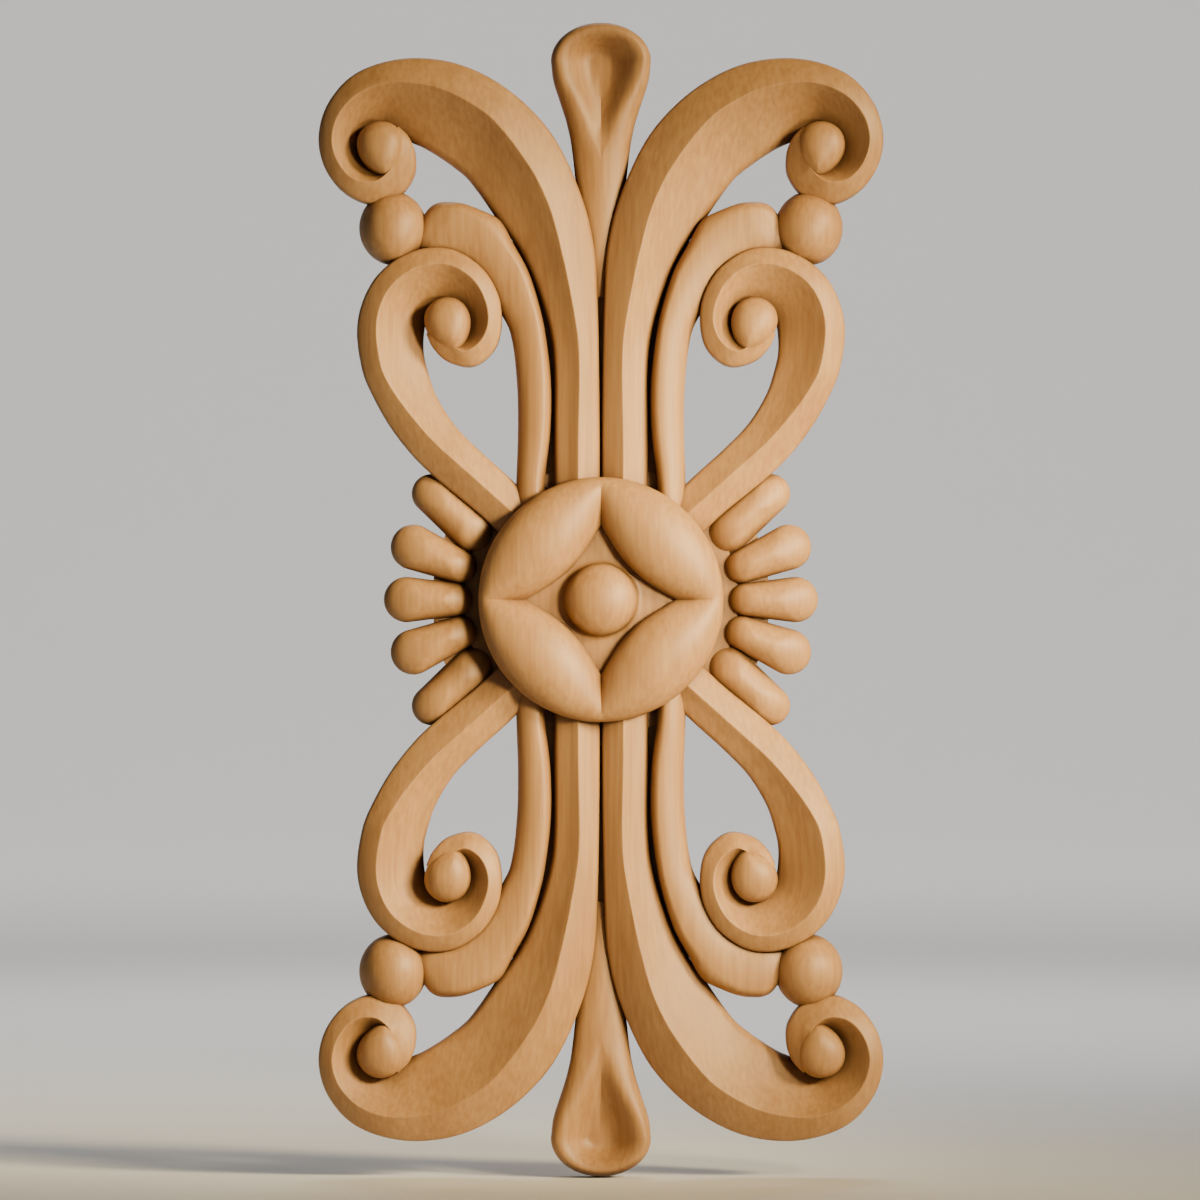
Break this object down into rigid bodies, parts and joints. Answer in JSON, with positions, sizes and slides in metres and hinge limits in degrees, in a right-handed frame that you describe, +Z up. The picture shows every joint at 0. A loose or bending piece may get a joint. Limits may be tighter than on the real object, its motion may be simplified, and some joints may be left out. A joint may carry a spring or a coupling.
{
  "type": "scroll onlay",
  "caption": "Upright carved wooden onlay: mirrored scrolls, leaves and fans about a petalled rosette, with a flat back to glue to furniture or a wall.",
  "frame": {"origin": "middle of the flat back, behind the rosette", "axes": "+Z up along the ornament's height, +X to the right seen from the front, +Y out of the flat back into the wall; the carving faces -Y"},
  "size_m": [0.1466, 0.02, 0.3],
  "materials": {
    "carved_wood": "smooth sanded pale hardwood, satin"
  },
  "bodies": {
    "root": {"scroll_onlay": "carved_wood"}
  },
  "joints": []
}
